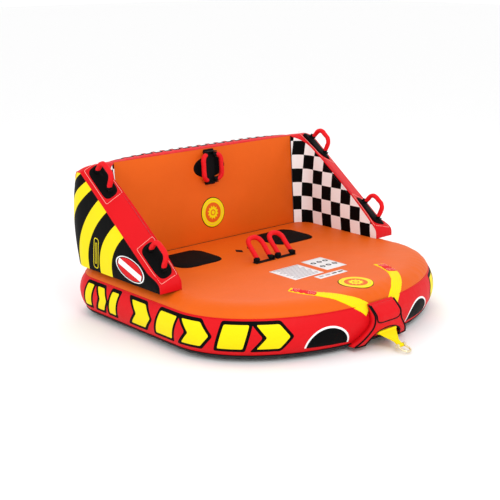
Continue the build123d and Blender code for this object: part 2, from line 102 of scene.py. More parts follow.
def smooth(name, colour, rough, metal=0.0):
    """Moulded plastic or polished metal with slightly uneven roughness."""
    material, tree, surface = shader(name, rough, metal)
    surface.inputs["Base Color"].default_value = (*colour, 1)
    marks = tree.nodes.new("ShaderNodeTexNoise")
    marks.inputs["Scale"].default_value = WEAR_SCALE
    spread = tree.nodes.new("ShaderNodeMapRange")
    spread.inputs["To Min"].default_value = rough * (1 - WEAR)
    spread.inputs["To Max"].default_value = rough * (1 + WEAR)
    tree.links.new(marks.outputs["Fac"], spread.inputs["Value"])
    tree.links.new(spread.outputs["Result"], surface.inputs["Roughness"])
    return material


ORANGE = (0.72, 0.112, 0.006)
RED = (0.66, 0.0045, 0.009)
YELLOW = (0.86, 0.70, 0.0005)
BLACK = (0.0008, 0.0008, 0.0010)
WHITE = (0.86, 0.86, 0.86)

# name, colour, roughness, strength of the creases, strength of the grain
orange = cloth("orange_nylon", ORANGE)
red = cloth("red_nylon", RED)
yellow = cloth("yellow_print", YELLOW)
black = cloth("black_print", BLACK, 0.6, mottle=0.0, shine=0.06)
white = cloth("white_print", WHITE, mottle=0.02)
underside = cloth("black_base", (0.02, 0.02, 0.022))
neoprene = cloth("black_neoprene", BLACK, 0.8, 0.15, 0.5, weave=420.0, mottle=0.0, shine=0.10)
red_sleeve = cloth("red_sleeve", (0.74, 0.009, 0.014), 0.6, 0.7, 0.25, weave=600.0)
black_web = cloth("black_webbing", (0.004, 0.004, 0.0045), 0.8, 0.05, 0.6, weave=520.0)
yellow_web = cloth("yellow_webbing", (0.92, 0.70, 0.002), 0.65, 0.45, 0.5, weave=520.0)
red_web = cloth("red_webbing", (0.70, 0.012, 0.018), 0.7, 0.2, 0.5, weave=520.0)
piping_black = cloth("piping", BLACK, 0.6, 0.1, mottle=0.0)
thread = cloth("thread", (0.90, 0.42, 0.36), 0.6, 0.0, 0.0)
gold = cloth("gold_print", (0.80, 0.52, 0.05))
pale = cloth("label_vinyl", (0.74, 0.72, 0.72), 0.4, 0.1, 0.0, mottle=0.02)
grey_print = cloth("grey_print", (0.30, 0.27, 0.30), 0.4, 0.1, 0.0)
vinyl = smooth("bladder_vinyl", (0.12, 0.13, 0.15), 0.35)
valve_plastic = smooth("valve_plastic", (0.03, 0.03, 0.034), 0.42)
steel = smooth("shackle_steel", (0.80, 0.70, 0.46), 0.24, metal=1.0)
plated = smooth("zipper_metal", (0.55, 0.55, 0.56), 0.3, metal=1.0)
zip_black = cloth("zipper_black", (0.014, 0.014, 0.015), 0.7, 0.0, 0.5)

# ---------------------------------------------------------------- flat outlines


def loop_of(points):
    return np.array(points, float)


def box_of(u0, v0, u1, v1):
    return loop_of([(u0, v0), (u1, v0), (u1, v1), (u0, v1)])


def level(xy, z):
    """Flat points raised to a height."""
    return np.column_stack([xy, np.broadcast_to(z, len(xy))])


def ramp(value, start, length):
    """0 up to start, then rising to 1 over length."""
    return np.clip((value - start) / length, 0, 1)


def run_along(line):
    """Distance along a line at each of its points."""
    return np.concatenate([[0], np.cumsum(np.hypot(*np.diff(line, axis=0).T))])


def resample(loop, step):
    """The closed loop with no edge longer than step."""
    out = []
    for a, b in zip(loop, np.roll(loop, -1, 0)):
        count = max(1, math.ceil(np.hypot(*(b - a)) / step))
        out += [a + (b - a) * i / count for i in range(count)]
    return np.array(out)


def inside(uv, loop):
    u, v = uv.T
    hit = np.zeros(len(uv), bool)
    for (u0, v0), (u1, v1) in zip(loop, np.roll(loop, -1, 0)):
        if v0 != v1:
            hit ^= ((v0 > v) != (v1 > v)) & (u < u0 + (u1 - u0) * (v - v0) / (v1 - v0))
    return hit


def nearest(uv, loop):
    """Each point's distance to a closed loop, and how far round the loop that is."""
    best, along, run = np.full(len(uv), 99.0), np.zeros(len(uv)), 0.0
    for a, b in zip(loop, np.roll(loop, -1, 0)):
        edge = b - a
        length = max(np.hypot(*edge), 1e-9)
        t = np.clip((uv - a) @ edge / length**2, 0, 1)
        gap = np.hypot(*(uv - a - t[:, None] * edge).T)
        closer = gap < best
        best[closer] = gap[closer]
        along[closer] = run + t[closer] * length
        run += length
    return best, along


def grow(loop, amount):
    """A loop with every edge moved outwards."""
    area = np.sum(loop[:, 0] * np.roll(loop[:, 1], -1) - np.roll(loop[:, 0], -1) * loop[:, 1])
    if area < 0:
        loop = loop[::-1]
    out = []
    for before, here, after in zip(np.roll(loop, 1, 0), loop, np.roll(loop, -1, 0)):
        a, b = here - before, after - here
        a, b = a / np.hypot(*a), b / np.hypot(*b)
        na, nb = np.array([a[1], -a[0]]), np.array([b[1], -b[0]])
        out.append(here + (na + nb) * amount / max(0.35, 1 + na @ nb))
    return np.array(out)


def rounded(loop, radius, steps=5):
    """A loop with its corners rounded off."""
    out = []
    for before, here, after in zip(np.roll(loop, 1, 0), loop, np.roll(loop, -1, 0)):
        a, b = before - here, after - here
        la, lb = np.hypot(*a), np.hypot(*b)
        start = here + a / la * min(radius, la * 0.45)
        end = here + b / lb * min(radius, lb * 0.45)
        for i in range(steps + 1):
            t = i / steps
            out.append(start * (1 - t) ** 2 + here * 2 * t * (1 - t) + end * t**2)
    return np.array(out)


def ellipse(cu, cv, ru, rv, tilt=0.0, count=64, sweep=2 * math.pi):
    t = sweep * np.arange(count) / count
    u, v = ru * np.cos(t), rv * np.sin(t)
    c, s = math.cos(tilt), math.sin(tilt)
    return np.stack([cu + u * c - v * s, cv + u * s + v * c], 1)


def rectangle(cu, cv, width, height, radius=0.0, tilt=0.0):
    w, h = width / 2, height / 2
    loop = box_of(-w, -h, w, h)
    if radius:
        loop = rounded(loop, radius)
    c, s = math.cos(tilt), math.sin(tilt)
    return loop @ np.array([[c, s], [-s, c]]) + [cu, cv]


ROW_SHARE = 0.866  # rows of equal-sided triangles lie this share of their side apart


def cut(domain, prints, step):
    """Triangles over an outline, cut along each print; a triangle takes the last print it lies in."""
    loops = [resample(loop, step) for loop in [domain, *[p for p, _ in prints]]]
    points, edges = [], []
    for loop in loops:
        base, count = len(points), len(loop)
        points += [Vector(p) for p in loop]
        edges += [(base + i, base + (i + 1) % count) for i in range(count)]
    low, high = loops[0].min(0), loops[0].max(0)
    grid = []
    for i, row in enumerate(np.arange(low[1] + step / 2, high[1], step * ROW_SHARE)):
        across = np.arange(low[0] + (step / 2) * (i % 2), high[0], step)
        grid.append(np.stack([across, np.full(len(across), row)], 1))
    grid = np.concatenate(grid)
    grid = grid[inside(grid, loops[0])]
    for loop in loops:
        grid = grid[nearest(grid, loop)[0] > 0.45 * step]
    points += [Vector(p) for p in grid]
    verts, _, faces, *_ = delaunay_2d_cdt(points, edges, [], 0, 1e-7)
    uv = np.array(verts)
    tris = np.array([f for f in faces if len(f) == 3])
    middle = uv[tris].mean(1)
    kept = inside(middle, loops[0])
    tris, middle = tris[kept], middle[kept]
    colour = np.zeros(len(tris), int)
    for loop, (_, number) in zip(loops[1:], prints):
        colour[inside(middle, loop)] = number
    used, tris = np.unique(tris, return_inverse=True)
    return uv[used], tris.reshape(-1, 3), colour


# ---------------------------------------------------------------- meshes


def build(name, points, faces, materials, colour=None, body="tube", stands_for=()):
    """A smooth mesh that rides on a body."""
    mesh = bpy.data.meshes.new(name)
    mesh.from_pydata([tuple(p) for p in points], [], [tuple(int(i) for i in f) for f in faces])
    for material in materials:
        mesh.materials.append(material)
    if colour is not None:
        mesh.polygons.foreach_set("material_index", np.asarray(colour, np.int32))
    mesh.polygons.foreach_set("use_smooth", np.ones(len(mesh.polygons), bool))
    mesh.update()
    obj = bpy.data.objects.new(name, mesh)
    bpy.context.scene.collection.objects.link(obj)
    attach(obj, body)
    if stands_for:
        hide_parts(*stands_for)
    return obj


def crinkle(points, scale, amount):
    """Soft uneven noise at each point."""
    return np.array([noise.noise(Vector(p) * scale) for p in points]) * amount


class Cover:
    """A sewn panel on an inflated body: it keeps to its seams and swells between them."""

    def __init__(self, place, outline, facing, swell, reach, crease=0.0007, pucker=0.0009, pinch=None):
        self.place, self.outline, self.facing = place, resample(outline, 0.03), facing
        self.swell, self.reach, self.crease, self.pucker, self.pinch = swell, reach, crease, pucker, pinch

    def at(self, uv, lift=0.0):
        step = 1e-4
        point = self.place(uv)
        du, dv = self.place(uv + [step, 0]) - point, self.place(uv + [0, step]) - point
        normal = np.cross(du, dv) * self.facing
        normal /= np.maximum(np.linalg.norm(normal, axis=1), 1e-12)[:, None]
        gap, along = nearest(uv, self.outline)
        height = self.swell * (1 - np.exp(-gap / self.reach))
        if self.pinch is not None:
            height = height * self.pinch(uv)
        free = 1 - np.exp(-gap / 0.012)
        height += crinkle(point, 14.0, self.crease) * free
        height += self.pucker * np.exp(-gap / 0.022) * free * np.sin(along * 170 + 4 * np.sin(along * 21))
        return point + normal * (height + lift)[:, None]


def panel(name, cover, prints, materials, step, stands_for=(), flip=False):
    """A panel's mesh with its prints."""
    uv, tris, colour = cut(cover.outline, prints, step)
    if flip:
        tris = tris[:, ::-1]
    return build(name, cover.at(uv), tris, materials, colour, stands_for=stands_for)


def patch(name, place, outline, height, step, materials, stands_for, prints=(), flip=False,
          body="tube", edge=0.002, sink=0.001):
    """A closed pad that lies on a surface: place(uv, lift) gives points, and its edge is rounded off."""
    uv, tris, colour = cut(outline, prints, step)
    if flip:
        tris = tris[:, ::-1]
    gap = nearest(uv, outline)[0]
    rise = height * np.sqrt(np.clip(1 - (1 - np.clip(gap / edge, 0, 1)) ** 2, 0, 1))
    count = len(uv)
    points = np.concatenate([place(uv, rise), place(uv, np.full(count, -sink))])
    border = {}
    for t in tris:
        for a, b in ((t[0], t[1]), (t[1], t[2]), (t[2], t[0])):
            if (b, a) in border:
                del border[(b, a)]
            else:
                border[(a, b)] = True
    sides = [(b, a, a + count, b + count) for a, b in border]
    faces = [*tris.tolist(), *(tris[:, ::-1] + count).tolist(), *sides]
    colours = [*colour, *([0] * (len(tris) + len(sides)))]
    return build(name, points, faces, materials, colours, body=body, stands_for=stands_for)


def tube(name, paths, radius, material, body="tube", closed=False, sides=10):
    """Round cords along one or more lines of points."""
    points, faces = [], []
    for path in paths:
        path = np.asarray(path, float)
        tangent = np.gradient(path, axis=0)
        if closed:
            tangent = np.roll(path, -1, 0) - np.roll(path, 1, 0)
        tangent /= np.linalg.norm(tangent, axis=1)[:, None]
        side = np.cross(tangent, [0.31, 0.17, 0.93])
        side /= np.linalg.norm(side, axis=1)[:, None]
        other = np.cross(tangent, side)
        base, count = len(points), len(path)
        for i in range(count):
            for k in range(sides):
                a = 2 * math.pi * k / sides
                points.append(path[i] + (side[i] * math.cos(a) + other[i] * math.sin(a)) * radius)
        for i in range(count if closed else count - 1):
            j = (i + 1) % count
            for k in range(sides):
                m, here, there = (k + 1) % sides, base + i * sides, base + j * sides
                faces.append((here + k, here + m, there + m, there + k))
        if not closed:
            faces.append(tuple(base + k for k in range(sides))[::-1])
            faces.append(tuple(base + (count - 1) * sides + k for k in range(sides)))
    return build(name, points, faces, [material], body=body)


# a stitch: four corners on the surface, then two ends and a middle on its raised back
STITCH_FACES = ((0, 4, 1), (1, 4, 6), (1, 6, 5), (1, 5, 2), (2, 5, 3), (3, 5, 6), (3, 6, 4), (3, 4, 0))
STITCH_LIFT = 0.0012


def stitches(name, place, lines, material, length=0.007, gap=0.0045, width=0.0018):
    """Rows of thread along flat lines, laid on a surface."""
    points, faces = [], []
    for line in lines:
        run = run_along(line)
        starts = np.arange(0, run[-1] - length, length + gap)
        a, b = (
            np.stack([np.interp(s, run, line[:, k]) for k in (0, 1)], 1) for s in (starts, starts + length)
        )
        along = (b - a) / np.maximum(np.hypot(*(b - a).T), 1e-9)[:, None]
        across = np.stack([-along[:, 1], along[:, 0]], 1) * width / 2
        taper = along * length * 0.2
        low, high = np.zeros(len(a)), np.full(len(a), STITCH_LIFT)
        corners = [place(q, low) for q in (a - across, a + across, b + across, b - across)]
        back = [place(q, high) for q in (a + taper, b - taper, (a + b) / 2)]
        for stitch in zip(*corners, *back):
            faces += [tuple(len(points) + k for k in face) for face in STITCH_FACES]
            points += stitch
    return build(name, points, faces, [material])


# ---------------------------------------------------------------- deck

DECK_HALF, DECK_REAR, DECK_CORNER = 0.770, 0.768, 0.216
NOSE_START, NOSE_LENGTH = -0.090, 0.527
DECK_TOP, SEAM_HIGH, SEAM_LOW = 0.254, 0.199, 0.036
SEAM_INSET, SHOULDER = 0.029, 0.135


def half_outline():
    """The right half of the deck's outline from the nose tip to the middle of the rear."""
    t = np.linspace(0, math.pi / 2, 120)
    centre = DECK_HALF - DECK_CORNER, DECK_REAR - DECK_CORNER
    nose = np.stack([DECK_HALF * np.sin(t), NOSE_START - NOSE_LENGTH * np.cos(t)], 1)
    side = np.stack([np.full(60, DECK_HALF), np.linspace(NOSE_START, centre[1], 62)[1:-1]], 1)
    corner = (centre + DECK_CORNER * np.stack([np.cos(t), np.sin(t)], 1))[::3]
    rear = np.stack([np.linspace(centre[0], 0, 50)[1:], np.full(49, DECK_REAR)], 1)
    return np.concatenate([nose, side, corner, rear])


right_half = half_outline()
deck_line = np.concatenate([(right_half * [-1, 1])[::-1], right_half[1:]])
deck_run = run_along(deck_line)
half_run = deck_run[-1] / 2
deck_run = deck_run - half_run
deck_tangent = np.gradient(deck_line, axis=0)
deck_tangent[0] = deck_tangent[-1] = (-1, 0)
deck_tangent /= np.hypot(*deck_tangent.T)[:, None]
deck_loop = deck_line[:-1]


def outline_at(s, inset):
    """Points on the deck's outline, moved inwards; s runs from the nose tip, positive to the right."""
    x, y = (np.interp(s, deck_run, deck_line[:, k]) for k in (0, 1))
    tx, ty = (np.interp(s, deck_run, deck_tangent[:, k]) for k in (0, 1))
    size = np.hypot(tx, ty)
    return np.stack([x - ty / size * inset, y + tx / size * inset], 1)


def run_at_side(y):
    """Distance from the nose tip to a point of the straight side or rear corner."""
    i = np.argmin(np.abs(right_half[:, 1] - y) + 10 * (right_half[:, 0] < 0.5))
    return deck_run[len(right_half) - 1 + i]


def run_at_nose(x):
    """Distance from the nose tip to a point of the nose's curve."""
    i = np.argmin(np.abs(right_half[:120, 0] - x))
    return deck_run[len(right_half) - 1 + i]


WIDEST_Z = 0.122


def wall_inset(z):
    """How far the sidewall stands inside the widest line at a height."""
    radius_high, radius_low = 0.1167, 0.1370
    up = radius_high - np.sqrt(np.maximum(radius_high**2 - (z - WIDEST_Z) ** 2, 0))
    down = radius_low - np.sqrt(np.maximum(radius_low**2 - (z - WIDEST_Z) ** 2, 0))
    return np.where(z > WIDEST_Z, up, down)


def shoulder(t, low, high):
    """Inset and height of the rounded shoulder, from the deck's flat at t = 0 to its seam at t = 1."""
    return SHOULDER - (SHOULDER - SEAM_INSET) * t, low + (high - low) * (1 - t**2.2) ** 0.60


def deck_height(inset):
    """Height of the deck's upper skin at a distance inside its outline."""
    t = np.clip((SHOULDER - inset) / (SHOULDER - SEAM_INSET), 0, 1)
    z = np.linspace(WIDEST_Z, SEAM_HIGH, 60)
    wall = np.interp(inset, wall_inset(z), z)
    return np.where(inset > SEAM_INSET, shoulder(t, SEAM_HIGH, DECK_TOP)[1], wall)


def deck_skin(uv, lift=0.0):
    """Points on the deck's upper skin below plan points, lifted along its normal."""

    def raw(q):
        gap = nearest(q, deck_loop)[0]
        return level(q, deck_height(gap))

    step = 2e-3
    point = raw(uv)
    normal = np.cross(raw(uv + [step, 0]) - point, raw(uv + [0, step]) - point)
    normal /= np.linalg.norm(normal, axis=1)[:, None]
    return point + normal * np.broadcast_to(lift, len(uv))[:, None]


def shell(name, rings, centre, materials, stands_for=(), flip=False, colour=None):
    """A skin through closed rings of points, ending in its centre."""
    count = len(rings[0])
    points = np.concatenate([*rings, [centre]])
    faces = []
    for r in range(len(rings) - 1):
        for i in range(count):
            j = (i + 1) % count
            faces.append((r * count + i, r * count + j, (r + 1) * count + j, (r + 1) * count + i))
    last = (len(rings) - 1) * count
    faces += [(last + i, last + (i + 1) % count, len(points) - 1) for i in range(count)]
    if flip:
        faces = [f[::-1] for f in faces]
    return build(name, points, faces, materials, colour, stands_for=stands_for)


columns = np.linspace(-half_run, half_run, 641)[:-1]
DECK_MIDDLE_Y, CHAMBER_GAP = 0.05, 0.012


def deck_rings(sign, low, high, shoulder_steps, depth=0.0):
    """Rings from a seam over the shoulder to the middle of the deck's top or bottom."""
    rings = []
    for k in range(shoulder_steps + 1):
        inset, z = shoulder(math.cos(math.pi / 2 * k / shoulder_steps), low, high)
        edge = outline_at(columns, inset + depth)
        gap = inset + depth - SEAM_INSET - depth
        pucker = 0.0016 * math.exp(-gap / 0.035) * (1 - math.exp(-gap / 0.004))
        wave = np.sin(columns * 92 + 3 * np.sin(columns * 11)) * pucker
        ripple = crinkle(level(edge, 0), 9.0, 0.0012 * min(1, gap / 0.03))
        rings.append(level(edge, z - sign * depth + sign * (wave + ripple)))
    rim = rings[-1]
    middle = np.array([0.0, DECK_MIDDLE_Y, high - sign * depth])
    for k in range(1, 22):
        share = 1 - (k / 22)
        ring = middle + (rim - middle) * [share, share, 1]
        ring[:, 2] = high - sign * depth + sign * crinkle(ring, 9.0, 0.0008)
        rings.append(ring)
    return rings, middle


top_rings, top_middle = deck_rings(1, SEAM_HIGH, DECK_TOP, 16)
shell("deck_top_cover", top_rings, top_middle, [orange], ["deck_top_panel"])
low_rings, low_middle = deck_rings(-1, SEAM_LOW, 0.0, 12)
for ring in low_rings:
    ring[:, 2] = np.maximum(ring[:, 2], 0.0)
shell("deck_bottom_cover", low_rings, low_middle, [underside], ["deck_bottom_panel"], flip=True)

inner_top, inner_middle = deck_rings(1, SEAM_HIGH, DECK_TOP, 8, depth=CHAMBER_GAP)
inner_low, _ = deck_rings(-1, SEAM_LOW, 0.0, 8, depth=CHAMBER_GAP)
belly = []
for z in np.linspace(SEAM_LOW + CHAMBER_GAP, SEAM_HIGH - CHAMBER_GAP, 9)[1:-1]:
    belly.append(level(outline_at(columns, wall_inset(z) + CHAMBER_GAP), z))
first_ring = 0.001 * np.column_stack([np.sin(columns), np.cos(columns), 0 * columns])
first_ring += [0.0, DECK_MIDDLE_Y, CHAMBER_GAP]
bladder_rings = [first_ring, *inner_low[::-1], *belly, *inner_top]
shell("deck_air_chamber", bladder_rings, inner_middle, [vinyl], ["deck_bladder"])


def wall_place(uv):
    return level(outline_at(uv[:, 0], wall_inset(uv[:, 1])), uv[:, 1])


PRINT_TOP, PRINT_BASE, EDGE = 0.179, 0.072, 0.014


def slab(start, end, slant):
    low, high = [(start, PRINT_BASE), (end - slant, PRINT_BASE)], [(end, PRINT_TOP), (start + slant, PRINT_TOP)]
    return loop_of(low + high)


def arrow(start, end, point):
    low, middle, high = PRINT_BASE, (PRINT_TOP + PRINT_BASE) / 2, PRINT_TOP
    back = [(start, high), (start + point, middle), (start, low)]
    return loop_of([back[2], (end - point, low), (end, middle), (end - point, high), back[0], back[1]])


group_rear = (-run_at_side(0.585), -run_at_side(0.285))
group_front = (-run_at_side(0.215), -run_at_nose(0.438))
blocks = []
width = (group_rear[1] - group_rear[0]) / 3
for i in range(3):
    start = group_rear[0] + i * width
    if i == 1:
        blocks.append(arrow(start + 0.004, start + width - 0.014, 0.030))
    else:
        blocks.append(slab(start, start + width - 0.026, 0.022))
width = (group_front[1] - group_front[0]) / 5
for i in range(5):
    start = group_front[0] + i * width
    if i % 2:
        blocks.append(slab(start + 0.004, start + width - 0.030, 0.030))
    else:
        blocks.append(arrow(start, start + width - 0.030, 0.045))

wall_prints = []
for mirror in (1, -1):
    for block in blocks:
        wall_prints.append((rounded(grow(block * [mirror, 1], EDGE), 0.012), 1))
    for block in blocks:
        wall_prints.append((rounded(block * [mirror, 1], 0.008), 2))
    near, far = run_at_nose(0.407), run_at_nose(0.196)
    centre, reach = mirror * -(near + far) / 2, abs(near - far) / 2
    wall_prints.append((ellipse(centre, 0.053, reach, 0.095, sweep=math.pi, count=60), 3))
    wall_prints.append((ellipse(centre, 0.053, reach - 0.009, 0.086, sweep=math.pi, count=60), 1))

wall = Cover(wall_place, box_of(-half_run, SEAM_LOW, half_run, SEAM_HIGH), 1, swell=0.0, reach=0.03)
panel("deck_side_cover", wall, wall_prints, [red, black, yellow, white], 0.012,
      ["deck_sidewall"])

seam_edge = outline_at(np.linspace(-half_run, half_run, 900)[:-1], SEAM_INSET - 0.0008)
for name, z, material in (("deck_upper_seam", SEAM_HIGH, red), ("deck_lower_seam", SEAM_LOW, piping_black)):
    tube(name, [level(seam_edge, z)], 0.0022, material, closed=True, sides=8)

# ---------------------------------------------------------------- bolster

FOOT, FOOT_Z, LEAN = 0.540, 0.244, 0.07374
WING_FRONT, WING_IN, WING_OUT = -0.006, 0.648, 0.764
BAND_Y, BAND_Z, BAND_HALF = 0.252, 0.518, 0.061
CORNER_R, CORNER_X = 0.097, 0.583
REAR_TOP = 0.690
BOLSTER_CORNER_X, BOLSTER_CORNER_Y = 0.548, 0.572
CREST_FRONT = (0.580, 0.733)


def arc_through(a, b, c, count):
    """Points of the circle's arc from a through b to c."""
    (ax, ay), (bx, by), (cx, cy) = a, b, c
    d = 2 * (ax * (by - cy) + bx * (cy - ay) + cx * (ay - by))
    ux = ((ax**2 + ay**2) * (by - cy) + (bx**2 + by**2) * (cy - ay) + (cx**2 + cy**2) * (ay - by)) / d
    uy = ((ax**2 + ay**2) * (cx - bx) + (bx**2 + by**2) * (ax - cx) + (cx**2 + cy**2) * (bx - ax)) / d
    radius = math.hypot(ax - ux, ay - uy)
    start, middle, end = (math.atan2(p[1] - uy, p[0] - ux) for p in (a, b, c))
    sweep = (end - start) % (2 * math.pi)
    if (middle - start) % (2 * math.pi) > sweep:
        sweep -= 2 * math.pi
    t = start + sweep * np.linspace(0, 1, count)
    return np.stack([ux + radius * np.cos(t), uy + radius * np.sin(t)], 1)


crest_rear, rear_widest = (0.678, 0.708), (DECK_REAR, 0.490)
rear_foot = (DECK_REAR - 0.290 + math.sqrt(0.290**2 - 0.236**2), DECK_TOP)
profile = np.concatenate(
    [
        [(WING_FRONT, DECK_TOP)],
        arc_through((WING_FRONT, 0.296), (BAND_Y, BAND_Z), CREST_FRONT, 80),
        arc_through(CREST_FRONT, (0.629, 0.742), crest_rear, 30)[1:],
        arc_through(crest_rear, rear_widest, rear_foot, 80)[1:],
    ]
)
run = run_along(profile)
profile_run = np.arange(0, run[-1], 0.002)
profile = np.stack([np.interp(profile_run, run, profile[:, k]) for k in (0, 1)], 1)
pad_points = 20
padded_line = np.concatenate(
    [
        profile[0] + (profile[1] - profile[0]) * np.arange(-pad_points, 0)[:, None],
        profile,
        profile[-1] + (profile[-1] - profile[-2]) * np.arange(1, pad_points + 1)[:, None],
    ]
)
kernel = np.exp(-0.5 * (np.arange(-pad_points, pad_points + 1) / 7.0) ** 2)
kernel /= kernel.sum()
profile = np.stack([np.convolve(padded_line[:, k], kernel, mode="valid") for k in (0, 1)], 1)
profile_end = profile_run[-1]


def profile_at(s):
    return np.interp(s, profile_run, profile[:, 0]), np.interp(s, profile_run, profile[:, 1])


def back_y(z):
    return FOOT + LEAN * (z - FOOT_Z)


CORNER_DROOP = 0.058
BAND_RISE, BAND_TILT, BAND_SOFT = 0.7543, 0.5, 0.005


def fall(x, y, z):
    """How far a wing's sloping band and the crest's corner have dropped below the profile at x."""
    plane = BAND_Z + (y - BAND_Y) * BAND_RISE - BAND_TILT * (np.abs(x) - WING_IN)
    drop = BAND_SOFT * np.logaddexp(0, (z - plane) / BAND_SOFT)
    ease = ramp(y, WING_FRONT, 0.095)
    keep = ramp(z, DECK_TOP, 0.03) * (0.25 + 0.75 * ease**2 * (3 - 2 * ease))
    corner = ramp(np.abs(x), 0.28, 0.48) ** 2 * ramp(y, 0.578, 0.07) * ramp(z, 0.45, 0.25)
    return np.where(y > 0.675, 0, drop) * keep + CORNER_DROOP * corner


def top_place(uv):
    """The bolster's top and rear: s along the side profile, x across."""
    y, z = profile_at(uv[:, 0])
    return np.column_stack([uv[:, 1], y, z - fall(uv[:, 1], y, z)])


def pull_in(angle, z):
    """How far the rear corner is drawn in above and below its fullest height."""
    away = np.abs(z - 0.47) / 0.22
    return np.where(z < 0.47, 0.062, 0.040) * np.minimum(away, 1.3) ** 2 * np.sin(np.clip(angle, 0, 1.2)) ** 2


def corner_angle(y, z):
    """Angle round the rear corner at which its skin reaches y at height z."""
    grid = np.linspace(0, math.pi / 2, 181)
    out = np.zeros(len(y))
    for i in range(len(y)):
        reach = BOLSTER_CORNER_Y + (DECK_CORNER - pull_in(grid, np.full(181, z[i]))) * np.sin(grid)
        out[i] = np.interp(y[i], np.maximum.accumulate(reach), grid) if y[i] > BOLSTER_CORNER_Y else 0
    return out


def outer_x(y, z):
    angle = corner_angle(y, z)
    round_corner = BOLSTER_CORNER_X + (DECK_CORNER - pull_in(angle, z)) * np.cos(angle)
    return np.where(y > BOLSTER_CORNER_Y, round_corner, WING_OUT)


def inner_x(y, z):
    centre = back_y(z) - CORNER_R
    reach = np.sqrt(np.maximum(CORNER_R**2 - np.maximum(y - centre, 0) ** 2, 0))
    return np.where(y < back_y(z) - 0.0054, np.maximum(WING_IN - CORNER_R + reach, CORNER_X), CORNER_X)


on_crest = profile_run[np.argmax(profile[:, 0] > back_y(profile[:, 1]))]
rear_turn = profile_run[len(profile) - 1 - np.argmax(profile[::-1, 1] > REAR_TOP)]

inner_turn = WING_IN - CORNER_R
corner_arc = CORNER_R * math.acos((CORNER_X - inner_turn) / CORNER_R)
outer_straight = BOLSTER_CORNER_Y - WING_FRONT


def inner_place(uv, side):
    """Inner face of a wing: distance from the corner seam forwards, and height."""
    s, z = uv[:, 0], uv[:, 1]
    centre = back_y(z) - CORNER_R
    angle = (corner_arc - np.minimum(s, corner_arc)) / CORNER_R
    x = inner_turn + CORNER_R * np.cos(angle)
    y = centre + CORNER_R * np.sin(angle) - np.maximum(s - corner_arc, 0)
    return np.column_stack([side * x, y, z])


def outer_place(uv, side):
    """Outer face of a wing: distance from its front round the rear corner, and height."""
    s, z = uv[:, 0], uv[:, 1]
    angle = np.maximum(s - outer_straight, 0) / DECK_CORNER
    radius = DECK_CORNER - pull_in(angle, z)
    x = np.where(s > outer_straight, BOLSTER_CORNER_X + radius * np.cos(angle), WING_OUT)
    y = np.where(s > outer_straight, BOLSTER_CORNER_Y + radius * np.sin(angle), WING_FRONT + s)
    return np.column_stack([side * x, y, z])


def outer_run(y, z):
    turned = outer_straight + DECK_CORNER * corner_angle(y, z)
    return np.where(y > BOLSTER_CORNER_Y, turned, y - WING_FRONT)


band_run = np.concatenate([np.arange(0, rear_turn, 0.008), [rear_turn]])
by, bz = profile_at(band_run)


def outer_edge(y, z):
    """Where the bolster's top meets its outer side: x, and the height there."""
    x = outer_x(y, z)
    for _ in range(4):
        x = outer_x(y, z - fall(x, y, z))
    return x, z - fall(x, y, z)


def strip_outline(run, near, far):
    return np.concatenate([np.column_stack([run, near]), np.column_stack([run, far])[::-1]])


band_outer, outer_edge_z = outer_edge(by, bz)
band_inner = inner_x(by, bz)
band_outline = strip_outline(band_run, band_outer, band_inner)
inner_edge_z = bz - fall(band_inner, by, bz)

lower_run = np.arange(rear_turn, profile_end, 0.008)
ly, lz = profile_at(lower_run)
lower_x, lower_edge_z = outer_edge(ly, lz)
outer_outline = np.concatenate(
    [
        np.column_stack([outer_run(by, outer_edge_z), outer_edge_z]),
        np.column_stack([outer_run(ly, lower_edge_z), lower_edge_z])[1:],
        [(outer_run(ly[-1:], np.array([DECK_TOP]))[0], DECK_TOP)],
    ]
)
on_wing = band_run < on_crest
to_seam = np.where(
    by > back_y(bz) - CORNER_R,
    corner_arc - CORNER_R * np.arcsin(np.clip((by - back_y(bz) + CORNER_R) / CORNER_R, 0, 1)),
    corner_arc + back_y(bz) - CORNER_R - by,
)
crest_z = profile_at(np.array([on_crest]))[1]
inner_outline = np.concatenate(
    [
        [(0.0, DECK_TOP)],
        [(corner_arc + back_y(DECK_TOP) - CORNER_R - WING_FRONT, DECK_TOP)],
        np.column_stack([to_seam, inner_edge_z])[on_wing & (to_seam > 0.002)],
        [(0.0, crest_z[0])],
    ]
)

# the stripes' edges: where each meets the deck, and how fast it curves forwards with height
STRIPES = (
    (0.906, 1.90), (0.819, 1.90), (0.740, 1.97), (0.620, 1.80), (0.541, 2.23), (0.448, 2.71), (0.354, 3.27),
)
stripe_z = np.linspace(0.24, 0.80, 30)


def stripe_edge(foot, bend):
    return np.column_stack([foot - bend * np.maximum(stripe_z - 0.29, 0) ** 2, stripe_z])


edges = [stripe_edge(*s) for s in STRIPES]
outer_prints = [(np.concatenate([edges[0], stripe_edge(1.4, 0.5)[::-1]]), 1)]
for a, b in ((1, 2), (3, 4), (5, 6)):
    outer_prints.append((np.concatenate([edges[b], edges[a][::-1]]), 1))
WING_BADGE, BADGE_TILT = (0.213, 0.322), math.radians(12)
for size, number in ((1.0, 2), (0.93, 0), (0.87, 3)):
    outer_prints.append((ellipse(*WING_BADGE, 0.105 * size, 0.052 * size, BADGE_TILT), number))
outer_prints.append((rectangle(*WING_BADGE, 0.172, 0.030, 0.006, BADGE_TILT + 0.12), 2))
# a plain yellow outline on the third black stripe
for width, height, corner, line in ((0.038, 0.150, 0.016, 0.004), (0.012, 0.104, 0.005, 0.003)):
    mark = rectangle(0.474, 0.345, width, height, corner, math.radians(8))
    outer_prints += [(mark, 1), (grow(mark, -line), 0)]

SQUARE, CHECK_START, CHECK_LOW = (0.0690, 0.0754), -0.026, DECK_TOP - 0.004


def check_corner(column, row):
    """Corner of a printed square; the columns curve forwards with height."""
    return CHECK_START + SQUARE[0] * column + 0.0011 * row**2, CHECK_LOW + SQUARE[1] * row


